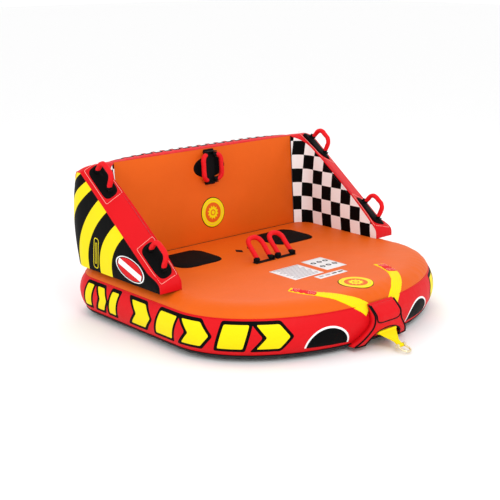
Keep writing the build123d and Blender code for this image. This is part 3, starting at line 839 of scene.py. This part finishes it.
checks = []
for column in range(-2, 10):
    for row in range(7):
        if (row + column) % 2 == 0:
            corners = ((column, row), (column + 1, row), (column + 1, row + 1), (column, row + 1))
            checks.append((loop_of([check_corner(*c) for c in corners]), 1))

SLOPE = np.array([0.0, 0.7984, 0.6022])


def band_frame(side, along):
    """Frame on the middle of a wing's sloping band: origin, along, across and normal."""
    across = np.array([side * 0.8944, 0, -0.4472])
    normal = np.cross(across, SLOPE) * side
    normal /= np.linalg.norm(normal)
    origin = np.array([side * WING_IN, BAND_Y, BAND_Z]) + across * BAND_HALF + SLOPE * along
    return origin, SLOPE, across, normal


SIDES = (("left", -1), ("right", 1))
BAND_PUFF = 0.0028
chamber_covers = []
for side_name, side in SIDES:
    wing = f"{side_name}_wing"
    outer = Cover(lambda q, s=side: outer_place(q, s), outer_outline, side, swell=0.009, reach=0.055)
    panel(f"{wing}_outer_cover", outer, outer_prints, [black, yellow, white, red], 0.011,
          [f"{wing}_outer_panel"], flip=side < 0)
    inner = Cover(lambda q, s=side: inner_place(q, s), inner_outline, side, swell=0.006, reach=0.06)
    panel(f"{wing}_inner_cover", inner, checks, [black, white], 0.012,
          [f"{wing}_inner_panel"], flip=side < 0)
    band = Cover(lambda q, s=side: top_place(q * [1, s]), band_outline, -side, swell=BAND_PUFF, reach=0.018)
    panel(f"{wing}_band_cover", band, [], [red], 0.009, [f"{wing}_band"], flip=side > 0)
    chamber_covers += [(outer, side < 0), (inner, side < 0), (band, side > 0)]

    for place_name, along in (("lower", -0.196), ("upper", 0.296)):
        origin, e_along, e_across, e_normal = band_frame(side, along)
        grip_place = f"{side_name}_{place_name}"

        def on_band(uv, lift, cling=False, o=origin, a=e_along, c=e_across, n=e_normal):
            """On the band's flat plane, or where the band bulges past it, on the bulge."""
            flat = o + uv[:, :1] * a + uv[:, 1:] * c
            rise = np.interp(flat[:, 1], profile[:, 0], profile[:, 1])
            rise = (rise - fall(flat[:, 0], flat[:, 1], rise) - flat[:, 2]) * n[2] + BAND_PUFF
            on_top = (np.broadcast_to(lift, len(uv)) > 0) & (not cling)
            return flat + (np.where(on_top, np.maximum(rise, 0), rise) + lift)[:, None] * n

        guard = patch(f"{grip_place}_guard_pad", on_band, rectangle(0, 0, 0.192, 0.082, 0.038), 0.0046, 0.007,
                      [neoprene], [f"{grip_place}_knuckle_guard"], flip=side < 0,
                      edge=0.007, sink=0.004)
        frame_line = rounded(box_of(-0.108, -0.050, 0.108, 0.050), 0.004)
        stitches(f"{grip_place}_guard_stitch", lambda q, h, f=on_band: f(q, h, cling=True),
                 [np.vstack([frame_line, frame_line[:1]])], thread, 0.009, 0.0015, 0.0024)

    outer_seam = np.column_stack([side * band_outer, by, outer_edge_z])
    tube(f"{side_name}_outer_seam", [outer_seam], 0.0024, red, sides=8)
    inner_seam = np.column_stack([side * band_inner, by, inner_edge_z])[band_run <= on_crest]
    tube(f"{side_name}_inner_seam", [inner_seam], 0.0022, red, sides=8)
    rear_seam = np.column_stack([side * lower_x, ly, lower_edge_z])
    tube(f"{side_name}_rear_seam", [rear_seam], 0.0024, red, sides=8)


BACK_GRIP_Z = 0.637


def back_place(uv):
    return np.column_stack([uv[:, 0], back_y(uv[:, 1]), uv[:, 1]])


def back_pinch(uv):
    """The panel is held flat where the handles are sewn on."""
    aside, above = np.abs(uv[:, 0]) - 0.085, np.abs(uv[:, 1] - BACK_GRIP_Z) - 0.088
    away = np.maximum(aside, 0) ** 2 + np.maximum(above, 0) ** 2
    return 0.12 + 0.88 * (1 - np.exp(-away / 0.011))


back_outline = box_of(-CORNER_X, DECK_TOP, CORNER_X, crest_z[0])
back = Cover(back_place, back_outline, 1, swell=0.016, reach=0.075, pinch=back_pinch)
panel("backrest_front_cover", back, [], [orange], 0.012, ["backrest_front_panel"])

crest_outline = box_of(on_crest, -CORNER_X, rear_turn, CORNER_X)
crest = Cover(top_place, crest_outline, -1, swell=0.003, reach=0.02)
dashes = []
for k in range(-9, 10):
    spot = (on_crest + 0.043, k * 0.058)
    dashes.append((rectangle(*spot, 0.040, 0.048, 0.004), 1))
    dashes.append((rectangle(*spot, 0.020, 0.030, 0.003), 2))
panel("backrest_crest_cover", crest, dashes, [red, black, white], 0.008,
      ["backrest_crest_band"], flip=True)

rear_outline = strip_outline(lower_run, lower_x, -lower_x)
rear = Cover(top_place, rear_outline, -1, swell=0.0, reach=0.1)
panel("backrest_rear_cover", rear, [], [red], 0.014, ["backrest_rear_panel"], flip=True)

chamber_covers += [(back, False), (crest, True), (rear, True)]
SKIN_GAP = 0.0008
foot_z = DECK_TOP + SKIN_GAP
foot_outer = level(np.linspace(0, outer_outline[-1][0], 40)[:, None], foot_z)
foot_inner = level(np.linspace(inner_outline[1][0], 0, 40)[:, None], foot_z)
right_foot = np.concatenate([inner_place(foot_inner, 1)[::-1], outer_place(foot_outer, 1)])[:, :2]
foot_uv, foot_tris, _ = cut(np.concatenate([right_foot, (right_foot * [-1, 1])[::-1]]), [], 0.05)
build("bolster_base_cover", level(foot_uv, foot_z), foot_tris, [underside],
      stands_for=["bolster_base_panel"])

chamber_points, chamber_faces = [], []
for cover, flip in chamber_covers:
    uv, tris, _ = cut(cover.outline, [], 0.03)
    chamber_faces += ((tris[:, ::-1] if flip else tris) + len(chamber_points)).tolist()
    chamber_points += cover.at(uv, -CHAMBER_GAP).tolist()
build("backrest_air_chamber", chamber_points, chamber_faces, [vinyl],
      stands_for=["backrest_bladder"])

# ---------------------------------------------------------------- pieces on the back and deck


def on_back(uv, lift):
    flat = back.at(uv)
    return flat + np.broadcast_to(lift, len(uv))[:, None] * np.array([0, -0.9973, 0.0735])


guard = patch("back_guard_pad", on_back, ellipse(0, BACK_GRIP_Z, 0.102, 0.054), 0.003, 0.007, [neoprene],
              ["back_knuckle_guard"], edge=0.005)


def sun_badge(name, place, centre, radius, stands_for):
    """A round badge: rings round a plain yellow sunburst."""
    rays = []
    for k in range(24):
        a = math.pi * k / 12
        r = radius * (0.47 if k % 2 else 0.33)
        rays.append((centre[0] + r * math.cos(a), centre[1] + r * math.sin(a)))
    rings = ((0.95, 1), (0.82, 2), (0.76, 1), (0.66, 3), (0.20, 3), (0.13, 1))
    prints = [(ellipse(*centre, radius * share, radius * share), number) for share, number in rings]
    prints.insert(4, (loop_of(rays), 1))
    patch(name, place, ellipse(*centre, radius, radius), 0.0014 if place is on_back else 0.0016, 0.006,
          [black, yellow, gold, orange], stands_for, prints)


sun_badge("backrest_sun_badge", on_back, (0, 0.402), 0.078, ["backrest_badge"])
sun_badge("deck_sun_badge", deck_skin, (0, -0.450), 0.082, ["deck_badge"])

for side_name, side in SIDES:
    pad_outline = rectangle(side * 0.313, 0.347, 0.270, 0.243, 0.075)

    def pad_place(uv, lift, outline=pad_outline):
        gap = nearest(uv, outline)[0]
        quilt = 0.006 * (1 - np.exp(-gap / 0.03)) - 0.0022 * np.exp(-((gap - 0.014) / 0.003) ** 2)
        return level(uv, 0.2542 + np.where(lift > 0, lift + quilt, lift))

    pad = patch(f"{side_name}_seat_cushion", pad_place, pad_outline, 0.0035, 0.008, [neoprene],
                [f"{side_name}_seat_pad"], edge=0.005)


def on_deck(uv, lift):
    return level(uv, DECK_TOP + SKIN_GAP + lift)


marks = []
for k in range(11):
    marks.append((rectangle(-0.086, -0.085 - k * 0.0145, 0.160 - 0.018 * (k % 3), 0.0062), 1))
for k in range(2):
    for i in range(3):
        spot = (0.112 + (i - 1) * 0.040, -0.112 - k * 0.062)
        marks.append((ellipse(*spot, 0.014, 0.014, count=20), 2))
        marks.append((rectangle(*spot, 0.006, 0.016), 0))
for k in range(4):
    marks.append((rectangle(0.010 + (k - 1.5) * 0.042, -0.287, 0.030, 0.012), 1 if k < 2 else 2))
label_outlines = (
    rectangle(-0.086, -0.157, 0.186, 0.176),
    rectangle(0.112, -0.142, 0.134, 0.176),
    rectangle(0.010, -0.287, 0.182, 0.044),
)
for index, outline in enumerate(label_outlines):
    on_label = [mark for mark in marks if inside(mark[0].mean(0)[None], outline)[0]]
    patch(f"care_label_{index + 1}", on_deck, outline, 0.0009, 0.012, [pale, grey_print, black],
          ["care_labels"], on_label, edge=0.001, sink=0.0006)

# ---------------------------------------------------------------- tow harness


def ribbon(line, width):
    """Outline of a flat strip along a line."""
    along = np.gradient(line, axis=0)
    along /= np.hypot(*along.T)[:, None]
    across = np.stack([-along[:, 1], along[:, 0]], 1) * np.reshape(width, (-1, 1)) / 2
    return np.concatenate([line + across, (line - across)[::-1]])


shoulder_turn = np.cos(np.linspace(math.pi / 2, 0, 40))[::-1][1:]
wall_z = np.linspace(WIDEST_Z, SEAM_HIGH, 30)
shoulder_inset, shoulder_z = shoulder(shoulder_turn, SEAM_HIGH, DECK_TOP)
skin_inset = np.concatenate([wall_inset(wall_z), shoulder_inset, [0.60]])
skin_z = np.concatenate([wall_z, shoulder_z, [DECK_TOP]])
skin_run = run_along(np.stack([skin_inset, skin_z], 1))


def along_skin(uv, lift):
    """Points on the deck's skin: distance round its outline, and distance up from its widest line."""

    def raw(q):
        inset, z = (np.interp(q[:, 1], skin_run, values) for values in (skin_inset, skin_z))
        return level(outline_at(q[:, 0], inset), z)

    step = 4e-3
    across, up = raw(uv + [step, 0]) - raw(uv - [step, 0]), raw(uv + [0, step]) - raw(uv - [0, step])
    normal = np.cross(across, up)
    normal /= np.linalg.norm(normal, axis=1)[:, None]
    return raw(uv) + normal * np.broadcast_to(lift, len(uv))[:, None]


STRAP_WALL, PATCH_WALL = 0.0024, 0.0044
for side_name, side in SIDES:
    plan_line = arc_through((0.297, -0.325), (0.229, -0.482), (0.060, -0.592), 40)
    plan_line = plan_line[plan_line[:, 0] > 0.076] * [side, 1]
    inset, around = nearest(plan_line, deck_loop)
    dip = 0.026 * ramp(-np.abs(plan_line[:, 0]), -0.23, 0.15) ** 1.5
    strap_line = np.column_stack([around - half_run, np.interp(inset, skin_inset, skin_run) - dip])
    strap_share = np.linspace(0, 1, len(strap_line))
    strap_width = np.interp(strap_share, [0, 0.4, 0.7, 1], [0.060, 0.056, 0.056, 0.062])
    patch_end = int(0.42 * len(strap_line))
    patch_line = strap_line[1:patch_end]
    patch(f"{side_name}_tow_strap_web", along_skin, ribbon(strap_line, strap_width), STRAP_WALL, 0.008,
          [yellow_web], [f"{side_name}_tow_strap"])
    for row, offset in enumerate((-0.017, -0.006, 0.006, 0.017)):
        both = ribbon(strap_line[len(patch_line) :], 2 * abs(offset))
        half = len(both) // 2
        stitches(f"{side_name}_tow_strap_stitch_{row + 1}", lambda q, h: along_skin(q, STRAP_WALL + h),
                 [both[:half] if offset > 0 else both[half:]], gold)
    patch(f"{side_name}_strap_patch", along_skin, ribbon(patch_line, 0.053), PATCH_WALL, 0.008,
          [red_web], ["tow_strap_patches"])
    for part, ends in enumerate(([1, 4], [-5, -2])):
        cross = ribbon(patch_line[ends], 0.038)
        lines = [np.vstack([cross, cross[:1]]), cross[[0, 2]], cross[[1, 3]]]
        stitches(f"{side_name}_patch_stitch_{part + 1}", lambda q, h: along_skin(q, PATCH_WALL + 0.0002 + h),
                 lines, thread, length=0.004, gap=0.004)

NOSE_RIM, COVER_STAND = 0.118, 0.032
COVER_TOP, COVER_LIP = (-0.596, 0.205), (-0.6475, 0.158)


def nose_face(xz, stand):
    """Points in front of the nose at a distance from the deck's skin."""
    x, z = xz[:, 0], xz[:, 1]
    away = np.maximum(z - 0.136, 0) + np.maximum(0.118 - z, 0)
    radius = NOSE_RIM + stand
    grown = stand - radius + np.sqrt(np.maximum(radius**2 - away**2, 0))
    y = NOSE_START - (NOSE_LENGTH + grown) * np.sqrt(1 - (x / (DECK_HALF + grown)) ** 2)
    return np.column_stack([x, y, z])


def cover_face(xz, stand):
    """The nose cover's outer skin: a slope from the deck's skin to a lip, then the front face."""
    slope = np.subtract(COVER_LIP, COVER_TOP) / math.dist(COVER_LIP, COVER_TOP)
    front = nose_face(xz, COVER_STAND + stand)
    top = COVER_TOP[0] + slope[0] / slope[1] * (xz[:, 1] - COVER_TOP[1]) + stand / slope[1]
    soft = 0.003
    front[:, 1] = soft * np.logaddexp(front[:, 1] / soft, top / soft)
    return front


def nose_puff(xz, outline, height):
    """Soft padding between an outline's seams."""
    swell = height * (1 - np.exp(-nearest(xz, outline)[0] / 0.012))
    return swell + crinkle(level(xz, 0), 38.0, height * 0.35)


def bend_round(before, here, after, reach):
    """A rounded corner of a line, without the line's straight parts."""
    t = np.linspace(0, 1, 8)[:, None]
    before, here, after = (np.array(p) for p in (before, here, after))
    a = here + (before - here) / np.hypot(*(before - here)) * reach
    b = here + (after - here) / np.hypot(*(after - here)) * reach
    return a * (1 - t) ** 2 + here * 2 * t * (1 - t) + b * t**2


low_corner, waist, high_corner, mouth_end = (0.170, 0.024), (0.086, 0.118), (0.082, 0.204), (0.110, 0.024)
right_edge = np.concatenate([
    [mouth_end],
    bend_round(mouth_end, low_corner, waist, 0.006),
    bend_round(low_corner, waist, high_corner, 0.021),
    bend_round(waist, high_corner, (0, 0.204), 0.006),
])
arch = ellipse(0, 0.024, 0.110, 0.072, sweep=math.pi, count=41)[::-1]
cover_edge = resample(np.concatenate([right_edge, (right_edge * [-1, 1])[::-1], arch[:-1]]), 0.006)
# the piping runs round the cover's sides and mouth, and lies flatter over the mouth's arch
hem_high = np.abs(cover_edge[:, 1] - 0.201)
top_left, top_right = (np.argmin(np.abs(cover_edge[:, 0] - x) + hem_high) for x in (-0.082, 0.082))
hem = np.concatenate([cover_edge[top_left:], cover_edge[: top_right + 1]])
hem_stand = 0.0012 - 0.0040 * ramp(-np.abs(hem[:, 0]), -0.100, 0.03) * (hem[:, 1] < 0.105)
cord = tube("nose_edge_piping", [cover_face(hem, hem_stand)], 0.0036, piping_black)
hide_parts("nose_piping")


def on_cover(q, h):
    return cover_face(q, h - 0.001 + nose_puff(q, cover_edge, 0.0022) * (h > 0))


patch("nose_cover_face", on_cover, cover_edge, 0.001, 0.006, [red], ["nose_cover"], sink=0.0024)


def cover_wall(name, edge):
    """The strip that joins the cover's side edge to the deck's skin."""
    inward = np.gradient(edge, axis=0)
    inward = np.column_stack([-inward[:, 1], inward[:, 0]]) / np.hypot(*inward.T)[:, None] * 0.0024
    rows = [(cover_face(e, -0.002), nose_face(e, 0.0005)) for e in (edge, edge + inward)]
    for front, foot in rows:
        foot[:, 1] = np.maximum(foot[:, 1], front[:, 1])
    (front, foot), (inner_front, inner_foot) = rows
    points = np.stack([front, foot, inner_foot, inner_front], 1).reshape(-1, 3)
    faces, last = [], 4 * (len(edge) - 1)
    for base in range(0, last, 4):
        for k in range(4):
            turn = (k + 1) % 4
            faces.append((base + k, base + turn, base + 4 + turn, base + 4 + k))
    faces += [(3, 2, 1, 0), tuple(range(last, last + 4))]
    build(name, points, faces, [red])


side_edge = resample(right_edge, 0.006)
side_edge = side_edge[: np.argmax(side_edge[:, 1] > 0.2035) + 1]
cover_wall("right_nose_cover_wall", side_edge)
cover_wall("left_nose_cover_wall", side_edge * [-1, 1])

flap_side, flap_low, flap_high, flap_corner = 0.076, 0.126, 0.198, 0.026
flap_right, flap_left = (flap_side, flap_high), (-flap_side, flap_high)
flap_line = np.concatenate([
    [flap_right],
    bend_round(flap_right, (flap_side, flap_low), (0, flap_low), flap_corner),
    bend_round((0, flap_low), (-flap_side, flap_low), flap_left, flap_corner),
    [flap_left],
])
FLAP_GAP, FLAP_WALL = 0.001, 0.0024


def on_flap(q, h):
    return cover_face(q, FLAP_GAP + FLAP_WALL + h + nose_puff(q, flap_line, 0.003) * (h > 0))


patch("nose_flap_face", on_flap, flap_line, 0.0006, 0.006, [red], ["nose_flap"],
      body="nose_flap", sink=FLAP_WALL)
flap_run = run_along(flap_line)
flap_even = np.linspace(0, flap_run[-1], 50)
flap_cord = np.stack([np.interp(flap_even, flap_run, flap_line[:, k]) for k in (0, 1)], 1)
tube("nose_flap_piping", [cover_face(flap_cord, FLAP_GAP + FLAP_WALL)], 0.0030, piping_black,
     body="nose_flap")

# ---------------------------------------------------------------- pieces grown from CAD solids, and finishes

behaviour = frame["record"]["behaviour"]
node_body = {node: body for body, members in behaviour["bodies"].items() for node in members}
hinges = {joint["child"]: joint for joint in behaviour["joints"]}


def soften(node, name, voxel, rounds, ripple, materials, colour=None):
    """A sewn piece grown from its CAD solid: remeshed, rounded off and moved along its normals by ripple."""
    work = bpy.data.objects.new(f"{node}_work", nodes[node].data.copy())
    bpy.context.scene.collection.objects.link(work)
    remesh = work.modifiers.new("remesh", "REMESH")
    remesh.mode = "VOXEL"
    remesh.voxel_size = voxel
    ease = work.modifiers.new("ease", "SMOOTH")
    ease.iterations = rounds
    soft = bpy.data.meshes.new_from_object(work.evaluated_get(bpy.context.evaluated_depsgraph_get()))
    bpy.data.objects.remove(work)
    points, normals = np.empty(len(soft.vertices) * 3), np.empty(len(soft.vertices) * 3)
    soft.vertices.foreach_get("co", points)
    soft.vertices.foreach_get("normal", normals)
    points, normals = points.reshape(-1, 3), normals.reshape(-1, 3)
    faces = [tuple(face.vertices) for face in soft.polygons]
    points = points + normals * ripple(points)[:, None]
    shades = None if colour is None else colour(np.array([face.center for face in soft.polygons]))
    return build(name, points, faces, materials, shades, body=node_body[node], stands_for=[node])


def hinge_distance(node, points):
    start, axis = np.array(hinges[node]["pos_m"]), np.array(hinges[node]["axis"])
    return np.linalg.norm(np.cross(points - start, axis), axis=1)


CUFF = 0.0135


def sleeve_folds(points, node):
    """Bunched folds of a padded sleeve, fading out towards its hinge line."""
    folds = 0.0004 + crinkle(points, 48.0, 0.0015) + crinkle(points, 130.0, 0.0007)
    return folds * ramp(hinge_distance(node, points), 0.013, 0.016) - 0.0003


def web_ripple(points):
    return crinkle(points, 55.0, 0.0004) - 0.0005


def tow_pleats(points):
    """Pleats that run together from the mouth of the cover to the shackle."""
    start = np.array(hinges["tow_webbing"]["pos_m"])
    away = np.linalg.norm((points - start)[:, 1:], axis=1)
    half = np.interp(away, [0, 0.066, 0.094], [0.060, 0.0144, 0.0144])
    fade = np.interp(away, [0.04, 0.055, 0.075, 0.085], [0, 1, 1, 0])
    pleats = 0.0016 * np.sin(points[:, 0] / half * 8.0 + away * 18) * fade
    return pleats + crinkle(points, 60.0, 0.0005) - 0.0007


for name in nodes:
    if name.endswith("_grip"):
        sleeve = soften(name, f"{name}_sleeve", 0.0026, 4, lambda q, n=name: sleeve_folds(q, n),
                        [red_sleeve, black_web],
                        lambda q, n=name: (hinge_distance(n, q) < CUFF).astype(int))
    elif name.endswith("_grip_strap"):
        soften(name, f"{name}_web", 0.0013, 3, web_ripple, [black_web])
soften("seat_tie_tabs", "seat_tabs_web", 0.0010, 2, web_ripple, [black_web])
soften("tow_webbing", "tow_webbing_web", 0.0016, 4, tow_pleats, [yellow_web])

finishes = {
    "tow_shackle": (steel, "shackle_metal"),
    "shackle_pin": (steel, "shackle_metal"),
    "zipper_tape": (zip_black, "zipper_black"),
    "zipper_slider": (plated, "zipper_metal"),
    "zipper_pull": (plated, "zipper_metal"),
}
for which in ("deck", "backrest"):
    for part in ("valve_body", "valve_cap"):
        finishes[f"{which}_{part}"] = (valve_plastic, "valve_plastic")
for name, (material, slot_name) in finishes.items():
    nodes[name].data.materials.clear()
    nodes[name].data.materials.append(material)

# ---------------------------------------------------------------- stage, lights and camera

bpy.context.scene.view_settings.view_transform = "Standard"
bpy.ops.mesh.primitive_plane_add(size=60, location=(0, 0, -0.0005))
floor = bpy.context.object
floor.name = "floor"
floor_material, _, floor_surface = shader("pale_floor", 0.9)
floor_surface.inputs["Base Color"].default_value = (0.95, 0.95, 0.95, 1)
floor.data.materials.append(floor_material)

world = bpy.data.worlds.new("studio")
bpy.context.scene.world = world
world.use_nodes = True
world.node_tree.nodes["Background"].inputs["Color"].default_value = (1, 1, 1, 1)
world.node_tree.nodes["Background"].inputs["Strength"].default_value = 1.03


def area_light(name, place, target, size, power):
    light = bpy.data.lights.new(name, "AREA")
    light.shape = "DISK"
    light.size = size
    light.energy = power
    obj = bpy.data.objects.new(name, light)
    obj.location = place
    obj.rotation_euler = (Vector(target) - Vector(place)).to_track_quat("-Z", "Y").to_euler()
    bpy.context.scene.collection.objects.link(obj)


area_light("key", (-1.6, -3.6, 3.6), (0, 0, 0.2), 2.6, 70)
area_light("fill", (-4.2, 0.4, 2.0), (0, 0, 0.3), 3.0, 20)
area_light("rim", (2.5, 3.0, 3.2), (0, 0, 0.4), 2.5, 35)

camera = bpy.data.cameras.new("camera")
camera.lens, camera.sensor_width = 76.6, 36.0
camera.clip_start, camera.clip_end = 0.05, 100
viewer = bpy.data.objects.new("camera", camera)
viewer.location = (-3.432, -3.514, 1.665)
viewer.rotation_euler = Vector((0.6489, 0.7131, -0.2656)).to_track_quat("-Z", "Y").to_euler()
bpy.context.scene.collection.objects.link(viewer)
bpy.context.scene.camera = viewer
